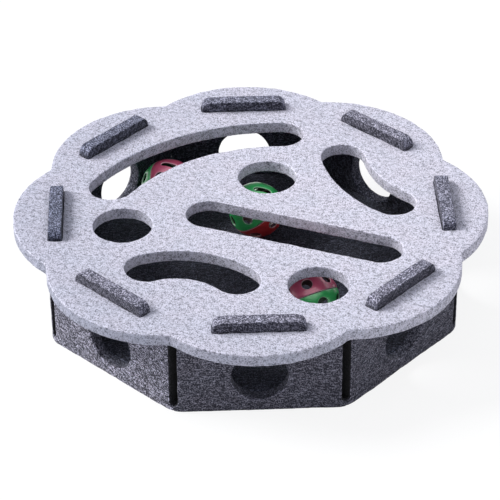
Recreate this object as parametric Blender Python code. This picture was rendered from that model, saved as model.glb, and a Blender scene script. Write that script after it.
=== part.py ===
"""Felt cat maze box: an eight-sided tray of thick felt, its walls standing round a floor, under a
flower-shaped felt lid that eight tabs hold, with three two-colour bell balls inside. Metres, +Z up, front
towards -Y. The origin is on the ground, under the middle of the tray."""

import bmesh
import bpy
import numpy as np
from math import atan2, cos, pi, radians, sin, tan
from mathutils import Matrix, Vector

# Tray
SIDES = 8
INNER_ACROSS = 0.285  # between the inner faces of opposite walls
FELT = 0.010  # thickness of the floor and the walls
BALL_HEADROOM = 0.0067  # above a ball, up to the level of the shoulders that carry the lid
CORNER_GAP = 0.0008  # slit between neighbouring walls at their inner edges
FIT_GAP = 0.0003  # clearance between pieces that lie on each other
TOE_HEIGHT = 0.0025  # below it the ends of a wall reach round the corner, where the felt is folded
TOE_SLOPE = 0.0015  # the height over which they draw back to the wall's end
TOE_REACH_SHARE = 0.85  # how far they reach towards the sharp outer corner of the tray
PAW_HOLE = 0.042  # diameter of the round hole in each wall

# Tabs, which stand on the walls and pass through the lid
TAB_LENGTH = 0.067
TAB_PROUD = 0.008  # above the lid
TAB_CORNER = 0.0065
SLOT_GAP = 0.0004  # between a tab and its slot in the lid, on each side

# Lid
LID_THICKNESS = 0.0095
LID_OVERHANG = 0.0275  # from the outer face of a wall to the tip of the lobe over it
NOTCH_DEPTH = 0.0144  # how much nearer to the middle the notches between the lobes are than the tips
NOTCH_FILLET = 0.0035
ROUND_HOLE = 0.045
SLOT_WIDTH = 0.0345

# Places on the lid, as shares of half the tray's inner width: the centres of the round holes (middle,
# left, front), the centre and the radius of each curved slot's bend (back left, right, front left), and
# the straight slot's two end centres
ROUND_HOLE_SHARES = ((0.102, 0.316), (-0.681, -0.107), (0.317, -0.688))
CURVED_SLOT_SHARES = (((0.158, -0.330), 1.077), ((1.226, 0.571), 0.702), ((-0.417, -0.890), 0.415))
CURVED_SLOT_ANGLES = ((87.6, 146.8), (185.8, 229.0), (39.0, 109.0))  # first and last, in degrees
STRAIGHT_SLOT_SHARES = ((-0.225, -0.022), (0.658, -0.387))

# Balls: two half shells that snap together, with a loose bell inside
BALL = 0.044
SHELL = 0.0012
SEAM = 0.0003  # between the two halves
POLE_HOLE = 0.0065
SHELL_HOLE = 0.0084
SHELL_HOLE_ANGLE = 67.0  # degrees from the pole
SHELL_HOLE_TURNS = (-52.0, 0.0, 52.0, 128.0, 180.0, 232.0)  # degrees round the pole: two rows of three
SLIT_LENGTH = 0.0150  # along the line from the pole to the rim
SLIT_WIDTH = 0.0045
SLIT_ANGLE = 50.0
SLIT_TURNS = (-90.0, 90.0)
BELL = 0.012
BELL_WALL = 0.0007
BELL_CLEARANCE = 0.0007  # under the bell, inside the shell
BELL_SLOT = 0.0016
BELL_CAP = 0.0010  # diameter of the flats at its poles
PELLET = 0.0035
PELLET_CLEARANCE = 0.0003

# Where each ball lies on the floor, as shares of half the tray's inner width
BALL_NAMES = ("ball_left", "ball_middle", "ball_front")
BALL_PLACE_SHARES = ((-0.435, 0.657), (0.047, 0.399), (0.290, -0.430))

# How each ball is turned: the directions that its green pole, the middle hole of a row of its green half
# and that of its pink half point in
BALL_TURNS = (
    ((-0.74, 0.34, -0.58), (-0.88, -0.07, 0.47), (-0.38, -0.92, -0.07)),
    ((-0.60, 0.00, 0.80), (-0.37, -0.91, 0.21), (0.09, -0.73, -0.68)),
    ((0.31, -0.64, -0.70), (0.39, -0.80, 0.45), (-0.13, -0.45, 0.88)),
)

# Facets
HOLE_POINTS = 24
SLOT_END_POINTS = 9
LOBE_POINTS = 15
FILLET_POINTS = 4
TAB_CORNER_POINTS = 4
SHELL_AROUND = 20
SHELL_RINGS = 5
SHELL_HOLE_POINTS = 10
BELL_AROUND = 12
BELL_RINGS = 4
SLOT_BEND_STEP = 5.0  # degrees of a curved slot between points
CUT_OVERRUN = 0.002

HALF_ANGLE = pi / SIDES
INNER_APOTHEM = INNER_ACROSS / 2
OUTER_APOTHEM = INNER_APOTHEM + FELT
WALL_HEIGHT = FELT + FIT_GAP + BALL + BALL_HEADROOM
PAW_HOLE_HEIGHT = WALL_HEIGHT / 2
LID_REACH = OUTER_APOTHEM + LID_OVERHANG  # from the middle to the tip of a lobe
NOTCH_REACH = LID_REACH - NOTCH_DEPTH
LID_UNDERSIDE = WALL_HEIGHT + FIT_GAP
LID_TOP = LID_UNDERSIDE + LID_THICKNESS
TAB_TOP = LID_TOP + TAB_PROUD
BALL_CENTRE_HEIGHT = FELT + FIT_GAP + BALL / 2
WALL_NAMES = ("right", "back_right", "back", "back_left", "left", "front_left", "front", "front_right")


def material(name, colour, roughness, metallic=0.0):
    made = bpy.data.materials.new(name)
    made.use_nodes = True
    made.diffuse_color = (*colour, 1.0)
    shader = made.node_tree.nodes["Principled BSDF"]
    shader.inputs["Base Color"].default_value = (*colour, 1.0)
    shader.inputs["Roughness"].default_value = roughness
    shader.inputs["Metallic"].default_value = metallic
    return made


def add_object(name, mesh, finish, parent=None):
    obj = bpy.data.objects.new(name, mesh)
    bpy.context.scene.collection.objects.link(obj)
    mesh.materials.clear()
    mesh.materials.append(finish)
    obj.parent = parent
    return obj


def arc(centre, radius, start, end, points):
    """Points of an arc, its angles in radians, both ends included."""
    return [
        (centre[0] + radius * cos(angle), centre[1] + radius * sin(angle))
        for angle in np.linspace(start, end, points)
    ]


def circle(centre, diameter, points=HOLE_POINTS):
    return arc(centre, diameter / 2, 0, 2 * pi, points + 1)[:-1]


def straight_slot(first, last, width):
    """A slot with round ends, whose end centres are given."""
    heading = atan2(last[1] - first[1], last[0] - first[0])
    far_end = arc(last, width / 2, heading - pi / 2, heading + pi / 2, SLOT_END_POINTS)
    near_end = arc(first, width / 2, heading + pi / 2, heading + 3 * pi / 2, SLOT_END_POINTS)
    return far_end + near_end


def curved_slot(centre, radius, start_degrees, end_degrees, width):
    """A slot of even width, bent along an arc, with round ends."""
    start, end = radians(start_degrees), radians(end_degrees)
    points = max(3, round((end_degrees - start_degrees) / SLOT_BEND_STEP) + 1)
    outer = arc(centre, radius + width / 2, start, end, points)
    inner = arc(centre, radius - width / 2, end, start, points)
    far_centre = arc(centre, radius, end, end, 1)[0]
    near_centre = arc(centre, radius, start, start, 1)[0]
    far_end = arc(far_centre, width / 2, end, end + pi, SLOT_END_POINTS)[1:-1]
    near_end = arc(near_centre, width / 2, start + pi, start + 2 * pi, SLOT_END_POINTS)[1:-1]
    return outer + far_end + inner + near_end


def lobe_radius():
    """Radius of the arc through a lobe's tip and the two notches beside it."""
    half_chord = NOTCH_REACH * sin(HALF_ANGLE)
    rise = LID_REACH - NOTCH_REACH * cos(HALF_ANGLE)
    return (half_chord**2 + rise**2) / (2 * rise)


def flower_outline():
    """The lid's edge: a lobe on each side, with the notch between two lobes rounded by a small fillet."""
    lobe = lobe_radius()
    lobe_middle = LID_REACH - lobe
    # A fillet's centre lies outside the notch, on the line through it, one fillet radius beyond both lobes.
    reach = lobe + NOTCH_FILLET
    along, across = cos(HALF_ANGLE), sin(HALF_ANGLE)
    fillet_middle = lobe_middle * along + (reach**2 - (lobe_middle * across) ** 2) ** 0.5
    half_turn = atan2(fillet_middle * across, fillet_middle * along - lobe_middle)
    outline = []
    for side in range(SIDES):
        tip = 2 * HALF_ANGLE * side
        centre = (lobe_middle * cos(tip), lobe_middle * sin(tip))
        outline += arc(centre, lobe, tip - half_turn, tip + half_turn, LOBE_POINTS)
        notch = tip + HALF_ANGLE
        fillet_centre = (fillet_middle * cos(notch), fillet_middle * sin(notch))
        start = tip + half_turn + pi
        end = notch + HALF_ANGLE - half_turn + pi
        outline += arc(fillet_centre, NOTCH_FILLET, start, end, FILLET_POINTS)[1:-1]
    return outline


def on_side(side, along, out):
    """The (x, y) of a point seen from outside a wall: along it to the right, and out from the middle."""
    angle = 2 * HALF_ANGLE * side
    return (out * cos(angle) - along * sin(angle), out * sin(angle) + along * cos(angle))


def tab_slot(side):
    half = TAB_LENGTH / 2 + SLOT_GAP
    near, far = INNER_APOTHEM - SLOT_GAP, OUTER_APOTHEM + SLOT_GAP
    corners = ((-half, near), (half, near), (half, far), (-half, far))
    return [on_side(side, along, out) for along, out in corners]


def flat_curve(name, outlines, thickness):
    """A filled flat shape, of which every outline after the first is a hole, as a plate of this thickness."""
    curve = bpy.data.curves.new(name, "CURVE")
    curve.dimensions = "2D"
    curve.fill_mode = "BOTH"
    curve.extrude = thickness / 2
    for outline in outlines:
        spline = curve.splines.new("POLY")
        spline.points.add(len(outline) - 1)
        for point, (x, y) in zip(spline.points, outline):
            point.co = (x, y, 0, 1)
        spline.use_cyclic_u = True
    return curve


def place(shares):
    """The (x, y) of a place that is given as shares of half the tray's inner width."""
    return (shares[0] * INNER_APOTHEM, shares[1] * INNER_APOTHEM)


def make_lid(finish):
    outlines = [flower_outline()]
    outlines += [circle(place(shares), ROUND_HOLE) for shares in ROUND_HOLE_SHARES]
    for (centre_shares, radius_share), angles in zip(CURVED_SLOT_SHARES, CURVED_SLOT_ANGLES):
        radius = radius_share * INNER_APOTHEM
        outlines.append(curved_slot(place(centre_shares), radius, *angles, SLOT_WIDTH))
    first, last = STRAIGHT_SLOT_SHARES
    outlines.append(straight_slot(place(first), place(last), SLOT_WIDTH))
    outlines += [tab_slot(side) for side in range(SIDES)]
    lid = add_object("lid", flat_curve("lid", outlines, LID_THICKNESS), finish)
    lid.location.z = LID_UNDERSIDE + LID_THICKNESS / 2


def make_floor(finish):
    """The tray's floor: an octagon that fits between the walls."""
    corner = (INNER_APOTHEM - FIT_GAP) / cos(HALF_ANGLE)
    angles = [HALF_ANGLE * (2 * side + 1) for side in range(SIDES)]
    outline = [(corner * cos(angle), corner * sin(angle)) for angle in angles]
    floor = add_object("base_floor", flat_curve("base_floor", [outline], FELT), finish)
    floor.location.z = FELT / 2


def wall_half_width(out):
    """Half the length of a side at this distance from the middle, less half the slit between two walls."""
    return out * tan(HALF_ANGLE) - CORNER_GAP / (2 * cos(HALF_ANGLE))


def wall_outline(toe_half_width):
    """A wall seen from outside, as (along, height): its toes, shoulders and tab."""
    half = wall_half_width(INNER_APOTHEM)
    right_corner = (TAB_LENGTH / 2 - TAB_CORNER, TAB_TOP - TAB_CORNER)
    left_corner = (-right_corner[0], right_corner[1])
    right = [(toe_half_width, 0), (toe_half_width, TOE_HEIGHT), (half, TOE_HEIGHT + TOE_SLOPE)]
    right += [(half, WALL_HEIGHT), (TAB_LENGTH / 2, WALL_HEIGHT)]
    left = [(-along, height) for along, height in reversed(right)]
    corners = arc(right_corner, TAB_CORNER, 0, pi / 2, TAB_CORNER_POINTS)
    corners += arc(left_corner, TAB_CORNER, pi / 2, pi, TAB_CORNER_POINTS)
    return right + corners + left


def wall_mesh(side):
    """Two outlines, on the wall's outer and inner face, joined by its edges, with the hole through both."""
    inner_half = wall_half_width(INNER_APOTHEM)
    outer_half = inner_half + TOE_REACH_SHARE * (wall_half_width(OUTER_APOTHEM) - inner_half)
    hole = circle((0, PAW_HOLE_HEIGHT), PAW_HOLE)
    bm = bmesh.new()
    edges = {}
    for out, toe in ((OUTER_APOTHEM, outer_half), (INNER_APOTHEM, inner_half)):
        for kind, loop in (("rim", wall_outline(toe)), ("hole", hole)):
            points = [bm.verts.new((*on_side(side, along, out), height)) for along, height in loop]
            edges[out, kind] = [
                bm.edges.new((point, points[(k + 1) % len(points)])) for k, point in enumerate(points)
            ]
    for kind in ("rim", "hole"):
        bmesh.ops.bridge_loops(bm, edges=edges[OUTER_APOTHEM, kind] + edges[INNER_APOTHEM, kind])
    for out in (OUTER_APOTHEM, INNER_APOTHEM):
        loops = edges[out, "rim"] + edges[out, "hole"]
        bmesh.ops.triangle_fill(bm, use_beauty=True, use_dissolve=False, edges=loops)
    bmesh.ops.recalc_face_normals(bm, faces=bm.faces)
    mesh = bpy.data.meshes.new("wall")
    bm.to_mesh(mesh)
    bm.free()
    return mesh


def make_walls(finish):
    for side, name in enumerate(WALL_NAMES):
        add_object(f"wall_{name}", wall_mesh(side), finish)


def spun(name, profile, around):
    """The solid turned from a closed profile of (distance from the axis, height) points."""
    bm = bmesh.new()
    points = [bm.verts.new((distance, 0, height)) for distance, height in profile]
    edges = [bm.edges.new((point, points[(k + 1) % len(points)])) for k, point in enumerate(points)]
    bmesh.ops.spin(
        bm, geom=points + edges, axis=(0, 0, 1), cent=(0, 0, 0), angle=2 * pi, steps=around, use_merge=True
    )
    bmesh.ops.recalc_face_normals(bm, faces=bm.faces)
    mesh = bpy.data.meshes.new(name)
    bm.to_mesh(mesh)
    bm.free()
    mesh.shade_smooth()
    mesh.set_sharp_from_angle(angle=pi / 6)
    return mesh


def turned_arc(radius, first_distance, first_height, last_distance, last_height, rings):
    """A round profile's points from one to the other, as (distance, height) on a circle about the middle."""
    start = atan2(first_height, first_distance)
    end = atan2(last_height, last_distance)
    return arc((0, 0), radius, start, end, rings + 1)


def cutter_mesh(shapes, inner, outer):
    """Closed prisms through a shell: each shape is a turn, its angle from the pole, and an outline."""
    bm = bmesh.new()
    for turn, angle_degrees, outline in shapes:
        angle = radians(angle_degrees)
        turned = Matrix.Rotation(turn, 4, "Z") @ Matrix.Rotation(angle, 4, "Y")
        base = [bm.verts.new(turned @ Vector((x, y, inner))) for x, y in outline]
        face = bm.faces.new(base)
        rise = turned @ Vector((0, 0, outer - inner))
        top = bmesh.ops.extrude_face_region(bm, geom=[face])["geom"]
        raised = [item for item in top if isinstance(item, bmesh.types.BMVert)]
        bmesh.ops.translate(bm, vec=rise, verts=raised)
    bmesh.ops.recalc_face_normals(bm, faces=bm.faces)
    mesh = bpy.data.meshes.new("cutter")
    bm.to_mesh(mesh)
    bm.free()
    return mesh


def cut(mesh, cutter):
    """The mesh less the cutter, as a new mesh of triangles."""
    scene = bpy.context.scene
    blank = bpy.data.objects.new("blank", mesh)
    tool = bpy.data.objects.new("cutter", cutter)
    for helper in (blank, tool):
        scene.collection.objects.link(helper)
        helper.hide_render = True
        helper.display_type = "WIRE"
    boolean = blank.modifiers.new("cut", "BOOLEAN")
    boolean.operation = "DIFFERENCE"
    boolean.object = tool
    evaluated = blank.evaluated_get(bpy.context.evaluated_depsgraph_get())
    result = bpy.data.meshes.new_from_object(evaluated)
    for helper in (blank, tool):
        bpy.data.objects.remove(helper)
    bm = bmesh.new()
    bm.from_mesh(result)
    bmesh.ops.triangulate(bm, faces=bm.faces, quad_method="FIXED", ngon_method="EAR_CLIP")
    bm.to_mesh(result)
    bm.free()
    return result


def half_shell_mesh():
    """Half of a ball, its pole up: an open dome with holes at the pole and around it, and two long slits."""
    outer, inner = BALL / 2, BALL / 2 - SHELL
    pole, rim = POLE_HOLE / 2, SEAM / 2
    outer_top, inner_top = (outer**2 - pole**2) ** 0.5, (inner**2 - pole**2) ** 0.5
    outer_side, inner_side = (outer**2 - rim**2) ** 0.5, (inner**2 - rim**2) ** 0.5
    dome = turned_arc(outer, pole, outer_top, outer_side, rim, SHELL_RINGS)
    hollow = turned_arc(inner, inner_side, rim, pole, inner_top, SHELL_RINGS)
    half = (SLIT_LENGTH - SLIT_WIDTH) / 2
    slit = straight_slot((-half, 0), (half, 0), SLIT_WIDTH)
    hole = circle((0, 0), SHELL_HOLE, SHELL_HOLE_POINTS)
    shapes = [(radians(turn), SHELL_HOLE_ANGLE, hole) for turn in SHELL_HOLE_TURNS]
    shapes += [(radians(turn), SLIT_ANGLE, slit) for turn in SLIT_TURNS]
    cutter = cutter_mesh(shapes, inner - CUT_OVERRUN, outer + CUT_OVERRUN)
    mesh = cut(spun("half_shell", dome + hollow, SHELL_AROUND), cutter)
    mesh.shade_smooth()
    mesh.set_sharp_from_angle(angle=pi / 6)
    return mesh


def bell_mesh():
    """A round bell with a slot across its top, and a small flat opening at its foot."""
    outer, inner, cap = BELL / 2, BELL / 2 - BELL_WALL, BELL_CAP / 2
    outer_height, inner_height = (outer**2 - cap**2) ** 0.5, (inner**2 - cap**2) ** 0.5
    rings = 2 * BELL_RINGS
    outside = turned_arc(outer, cap, outer_height, cap, -outer_height, rings)
    inside = turned_arc(inner, cap, -inner_height, cap, inner_height, rings)
    reach = outer + CUT_OVERRUN
    half = BELL_SLOT / 2
    slot = [(-reach, -half), (reach, -half), (reach, half), (-reach, half)]
    cutter = cutter_mesh([(0, 0, slot)], half, reach)
    mesh = cut(spun("bell", outside + inside, BELL_AROUND), cutter)
    mesh.shade_smooth()
    mesh.set_sharp_from_angle(angle=pi / 6)
    return mesh


def pellet_mesh():
    bm = bmesh.new()
    bmesh.ops.create_icosphere(bm, subdivisions=2, radius=PELLET / 2)
    mesh = bpy.data.meshes.new("pellet")
    bm.to_mesh(mesh)
    bm.free()
    mesh.shade_smooth()
    return mesh


def half_shell_turn(pole, hole_towards):
    """The rotation that puts a half shell's pole and one of its round holes in these directions."""
    up = Vector(pole).normalized()
    side = Vector(hole_towards) - up * Vector(hole_towards).dot(up)
    across = side.normalized()
    return Matrix((across, up.cross(across), up)).transposed().to_4x4()


def make_ball(name, place_shares, turns, shell, bell, pellet, finishes):
    """One ball: an empty at its centre carries the shells, and the bell lies at the bottom."""
    green_pole, green_hole, pink_hole = turns
    centre = bpy.data.objects.new(f"{name}_centre", None)
    bpy.context.scene.collection.objects.link(centre)
    centre.location = (*place(place_shares), BALL_CENTRE_HEIGHT)
    pink_pole = -Vector(green_pole)
    for colour, pole, hole in (("green", green_pole, green_hole), ("pink", pink_pole, pink_hole)):
        half = add_object(f"{name}_shell_{colour}", shell.copy(), finishes[colour], centre)
        half.matrix_local = half_shell_turn(pole, hole)
    bell_drop = BALL / 2 - SHELL - BELL / 2 - BELL_CLEARANCE
    pellet_drop = bell_drop + BELL / 2 - BELL_WALL - PELLET / 2 - PELLET_CLEARANCE
    add_object(f"{name}_bell", bell.copy(), finishes["bell"], centre).location.z = -bell_drop
    add_object(f"{name}_pellet", pellet.copy(), finishes["pellet"], centre).location.z = -pellet_drop


def main():
    for obj in list(bpy.data.objects):
        bpy.data.objects.remove(obj)
    pale_felt = material("felt_light_grey", (0.58, 0.58, 0.62), 0.95)
    dark_felt = material("felt_dark_grey", (0.12, 0.12, 0.14), 0.95)
    finishes = {
        "green": material("plastic_green", (0.03, 0.42, 0.10), 0.25),
        "pink": material("plastic_pink", (0.55, 0.05, 0.10), 0.25),
        "bell": material("bell_nickel", (0.75, 0.74, 0.72), 0.3, 1.0),
        "pellet": material("pellet_steel", (0.6, 0.6, 0.6), 0.35, 1.0),
    }
    make_floor(dark_felt)
    make_walls(dark_felt)
    make_lid(pale_felt)
    shell, bell, pellet = half_shell_mesh(), bell_mesh(), pellet_mesh()
    for name, place_shares, turns in zip(BALL_NAMES, BALL_PLACE_SHARES, BALL_TURNS):
        make_ball(name, place_shares, turns, shell, bell, pellet, finishes)


main()
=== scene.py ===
"""Looks of the felt cat maze box: fine felt sheets, two-colour plastic balls with their bells, a white
studio and the photograph's camera. Metres, +Z up, the front towards -Y. Every piece takes its place from
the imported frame."""

from math import cos, pi, radians, sin, tan

import bpy
import numpy as np
from mathutils import Matrix, Vector
from mathutils.geometry import delaunay_2d_cdt


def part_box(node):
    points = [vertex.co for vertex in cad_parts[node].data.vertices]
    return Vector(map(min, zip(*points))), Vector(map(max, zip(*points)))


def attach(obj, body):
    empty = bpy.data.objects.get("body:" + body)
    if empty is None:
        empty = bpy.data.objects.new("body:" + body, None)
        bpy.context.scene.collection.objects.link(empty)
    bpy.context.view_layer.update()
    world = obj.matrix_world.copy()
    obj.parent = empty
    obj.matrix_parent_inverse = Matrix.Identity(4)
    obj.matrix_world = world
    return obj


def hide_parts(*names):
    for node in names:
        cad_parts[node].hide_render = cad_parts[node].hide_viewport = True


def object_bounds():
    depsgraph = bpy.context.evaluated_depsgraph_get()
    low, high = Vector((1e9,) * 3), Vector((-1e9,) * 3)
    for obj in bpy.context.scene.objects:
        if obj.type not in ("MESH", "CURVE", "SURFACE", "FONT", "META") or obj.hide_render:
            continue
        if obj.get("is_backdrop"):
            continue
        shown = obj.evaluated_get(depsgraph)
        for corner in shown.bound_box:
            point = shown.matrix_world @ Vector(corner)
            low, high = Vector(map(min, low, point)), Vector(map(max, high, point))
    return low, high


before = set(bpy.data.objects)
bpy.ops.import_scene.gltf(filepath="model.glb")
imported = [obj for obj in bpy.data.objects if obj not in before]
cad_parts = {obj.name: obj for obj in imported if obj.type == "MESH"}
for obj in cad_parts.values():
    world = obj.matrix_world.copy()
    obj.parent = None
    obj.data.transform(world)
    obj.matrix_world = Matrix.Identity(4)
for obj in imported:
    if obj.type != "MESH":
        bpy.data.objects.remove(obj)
cad_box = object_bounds()

# Felt box, from the frame
SIDES = 8
HALF_ANGLE = pi / SIDES
WALL_NAMES = ("right", "back_right", "back", "back_left", "left", "front_left", "front", "front_right")
LID_BOTTOM, LID_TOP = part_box("lid")[0].z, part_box("lid")[1].z
LID_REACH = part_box("lid")[1].x
TAB_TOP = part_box("wall_front")[1].z
OUTER_APOTHEM = -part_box("wall_front")[0].y
INNER_APOTHEM = -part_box("wall_front")[1].y
FLOOR_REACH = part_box("base_floor")[1].x
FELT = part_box("base_floor")[1].z

# Felt box, as in the part's source
WALL_HEIGHT = 0.061
CORNER_GAP = -0.0002  # unlike there, the walls overlap a little, so that their rounded edges meet
PAW_HOLE = 0.042
PAW_HOLE_HEIGHT = WALL_HEIGHT / 2
TAB_LENGTH = 0.067
TAB_CORNER = 0.0065
SLOT_GAP = 0.0004
NOTCH_DEPTH = 0.0144
NOTCH_FILLET = 0.0035
ROUND_HOLE = 0.045
SLOT_WIDTH = 0.0345
ROUND_HOLE_SHARES = ((0.102, 0.316), (-0.681, -0.107), (0.317, -0.688))
CURVED_SLOT_SHARES = (((0.158, -0.330), 1.077), ((1.226, 0.571), 0.702), ((-0.417, -0.890), 0.415))
CURVED_SLOT_ANGLES = ((87.6, 146.8), (185.8, 229.0), (39.0, 109.0))
STRAIGHT_SLOT_SHARES = ((-0.225, -0.022), (0.658, -0.387))

# The foot of a wall, folded round the corner of the tray
TOE_HEIGHT = 0.0030
TOE_FADE = 0.0035  # the height over which it draws back to the wall's end
TOE_ROUND = 0.0200  # radius of the tray's rounded corners, seen from above

# Felt, as it is cut: how finely it is drawn, how uneven it is, and the way its fibres lie, in radians
OUTLINE_STEP = 0.0014
FACE_STEP = 0.0024
FELT_EDGE = 0.0007
FELT_UNEVEN = ((0.045, 0.00025), (0.007, 0.00022), (0.0018, 0.00014))  # size of the bumps, and their height
NOISE_TABLE_SIZE = 8192
NOISE_PRIMES = (73856093, 19349663, 83492791)
GRID_SHAKE = 0.18  # how far a point of the faces' grid may lie from its place, in steps
CHART_TOLERANCE = 1e-9
WALL_LIES = (0.5, 1.9, 0.3, 1.2, 0.9, 0.5, 0.15, -0.35)
LID_LIE = 0.4

# Painted light and shade of the felt and the plastic: how much paler each place is painted, deeper below zero
TONE_BLEND = 0.002  # the length over which one tone gives way to the next
# Painted light on each wall's outer face, palest on the front left one
WALL_PAINTED_LIGHT = (0.0, 0.0, 0.0, 0.1, 0.2, 1.25, 0.0, 0.1)
# Painted shade inside the tray, on the floor's top and the walls' inner faces
TRAY_INSIDE_PAINTED_SHADE = -0.50
# Painted shade on the walls' cut sides: in the paw holes and along their edges
WALL_CUT_PAINTED_SHADE = -0.20
# Painted light and shade on each tab above the lid, and painted shade on all of them
TAB_PAINTED_LIGHT = (0.0, 0.1, -0.1, -0.30, -0.45, 0.05, 0.05, 0.05)
TAB_FACE_PAINTED_SHADE = -0.10
LID_EDGE_PAINTED_LIGHT = (0.06, 0.14, 0.18)  # painted light on the lid's outer edge: the middle one, and how much it grows towards +X and +Y
LID_EDGE_LIGHT_LIMITS = (-0.2, 0.12)
# A painted pool of light on the lid: painted shade that grows with the square of the distance from its palest
# place
LID_PAINTED_SHADE_FADE = -0.09
LID_PAINTED_FADE_REACH = 0.2  # how far from the palest place the painted shade grows to the amount above
LID_PAINTED_LIGHT_MIDDLE = (0.08, 0.02)
LID_EDGE_MARGIN = 0.002  # how far inside the notches the lid's outer edge is taken to start
WALL_END_START = 0.010  # how far beyond the tab the painted shade at a wall's end begins
WALL_END_BLEND = 0.004
# Painted shade on the inside of the ball shells
SHELL_PAINTED_SHADE = -0.85

# Balls, as in the part's source, and how finely they are drawn
SHELL = 0.0012
SEAM = 0.0003
POLE_HOLE = 0.0065
SHELL_HOLE = 0.0084
SHELL_HOLE_ANGLE = 67.0
SHELL_HOLE_TURNS = (-52.0, 0.0, 52.0, 128.0, 180.0, 232.0)
SLIT_LENGTH = 0.0150
SLIT_WIDTH = 0.0045
SLIT_ANGLE = 50.0
SLIT_TURNS = (-90.0, 90.0)
BALL_NAMES = ("ball_left", "ball_middle", "ball_front")
BALL_TURNS = (
    ((-0.74, 0.34, -0.58), (-0.88, -0.07, 0.47), (-0.38, -0.92, -0.07)),
    ((-0.60, 0.00, 0.80), (-0.37, -0.91, 0.21), (0.09, -0.73, -0.68)),
    ((0.31, -0.64, -0.70), (0.39, -0.80, 0.45), (-0.13, -0.45, 0.88)),
)
BALL_STEP = 0.0007
SHELL_EDGE = 0.0005

# Bells, as in the part's source, and with the round ends of their slot and the seam round their middle
BELL_WALL = 0.0007
BELL_SLOT = 0.0016
BELL_SLOT_REACH = 68.0  # degrees from the top to the middle of a round end
BELL_SLOT_END = 0.0026
BELL_CAP_ANGLE = 175.0  # where the small opening at its foot starts
BELL_RIDGE = 0.0005  # how far the seam stands out
BELL_RIDGE_ANGLE = 4.0  # degrees over which it falls off
BELL_STEP = 0.0004
BELL_EDGE = 0.0002

# Camera, worked out from the lid's notches and lobes and the tray's corners in the photograph
IMAGE_PIXELS = 500
FOCAL_PIXELS = 2373.2
SENSOR_WIDTH = 36.0
CAMERA_AZIMUTH = -2.115
CAMERA_ELEVATION = 35.246
CAMERA_ROLL = -0.347
CAMERA_DISTANCE = 1.8173
CAMERA_TARGET = (-0.0010, -0.0029, 0.0360)

# Colours of the felt, the plastic and the metal
LIGHT_DEEP, LIGHT_PALE = (0.20, 0.20, 0.24), (0.83, 0.81, 0.925)
DARK_DEEP, DARK_PALE = (0.026, 0.026, 0.037), (0.37, 0.36, 0.44)
GREEN = (0.04, 0.82, 0.18)
# The pink holds a painted reflection: its green and blue are raised for the haze of the pale sky in its gloss
PINK = (0.95, 0.13, 0.27)
RED = (0.80, 0.02, 0.02)
# A painted highlight along the edges of the balls' holes
PAINTED_HOLE_HIGHLIGHT = (0.85, 0.85, 0.83)
NICKEL = (0.75, 0.74, 0.72)
STEEL = (0.60, 0.60, 0.61)

# Noises of the felt and the plastic: cells to a metre, detail, and how much the finer cells count
GRAIN = (950.0, 2.0, 0.7)
FIBRE = (1400.0, 1.0, 0.55)
BLOTCH = (300.0, 2.0, 0.65)
BEND = (90.0, 1.0, 0.55)
TINT = (45.0, 2.0, 0.55)
UNEVEN = (70.0, 2.0, 0.5)

# Pattern of the felt
GRAIN_GAIN, FIBRE_GAIN, BLOTCH_GAIN = 3.6, 3.0, 2.0
NOISE_MIDDLE = 0.5
FIBRE_MIDDLE = 0.60  # the usual level of the highest of the three sets
FIBRE_BEND = 0.003  # how far a place is shifted for its fibres
FIBRE_SETS = (((0, 0, 0.1), 0.10), ((0, 0, -0.35), 0.13), ((0, 0.9, 1.2), 0.22))  # turn, and squeeze along X
LEAST_SHADE = 0.05  # the darkest that the shading makes a colour, as a share of it
TINTS = ((0.36, (0.985, 0.995, 1.0)), (0.64, (1.0, 0.985, 0.985)))  # each from this level of the noise
PAINTED_SHADE_TINT = (0.74, 0.90, 1.10)  # the bluer tint of painted shade, where the painted light is -1

# Pattern of the plastic
PLASTIC_SHADES = ((0.3, (0.85, 0.85, 0.85)), (0.7, (1, 1, 1)))  # each from this level of the noise
HOLE_HIGHLIGHT_STRENGTH = 0.6  # how much of the painted highlight shows along the hole edges

# Kinds of socket that a node group has
COLOUR_SOCKET, NUMBER_SOCKET = "NodeSocketColor", "NodeSocketFloat"

# Studio
SKY_STRENGTH = 0.50
SKY_TINT = (0.95, 0.98, 1.07)
FLOOR_PAINT = 0.82
FLOOR_GLOW = 1.08
FLOOR_GLOW_SHARE = 0.80
STUDIO_REACH = 6.0
KEY_TOWARDS = (-1.0, 0.30, 0.80)
KEY_SPREAD = 28.0
KEY_STRENGTH = 3.1


def new_object(name, mesh):
    obj = bpy.data.objects.new(name, mesh)
    bpy.context.scene.collection.objects.link(obj)
    return obj


def arc(centre, radius, start, end, points):
    """Points of an arc, its angles in radians, both ends included: centre + radius (cos, sin)."""
    angles = np.linspace(start, end, points)
    return np.stack([centre[0] + radius * np.cos(angles), centre[1] + radius * np.sin(angles)], axis=1)


def circle(centre, diameter, points=96):
    return arc(centre, diameter / 2, 0, 2 * pi, points + 1)[:-1]


def straight_slot(first, last, width, points=32):
    """A slot with round ends: two half circles about its end centres."""
    heading = np.arctan2(last[1] - first[1], last[0] - first[0])
    far_end = arc(last, width / 2, heading - pi / 2, heading + pi / 2, points)
    near_end = arc(first, width / 2, heading + pi / 2, heading + 3 * pi / 2, points)
    return np.vstack([far_end, near_end])


def curved_slot(centre, radius, start_degrees, end_degrees, width, points=32):
    """A slot of even width, bent along an arc: two arcs half a width either side of it, and round ends."""
    start, end = radians(start_degrees), radians(end_degrees)
    outer = arc(centre, radius + width / 2, start, end, points)
    inner = arc(centre, radius - width / 2, end, start, points)
    first, last = arc(centre, radius, start, end, points=2)
    far_end = arc(last, width / 2, end, end + pi, points)[1:-1]
    near_end = arc(first, width / 2, start + pi, start + 2 * pi, points)[1:-1]
    return np.vstack([outer, far_end, inner, near_end])


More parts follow.
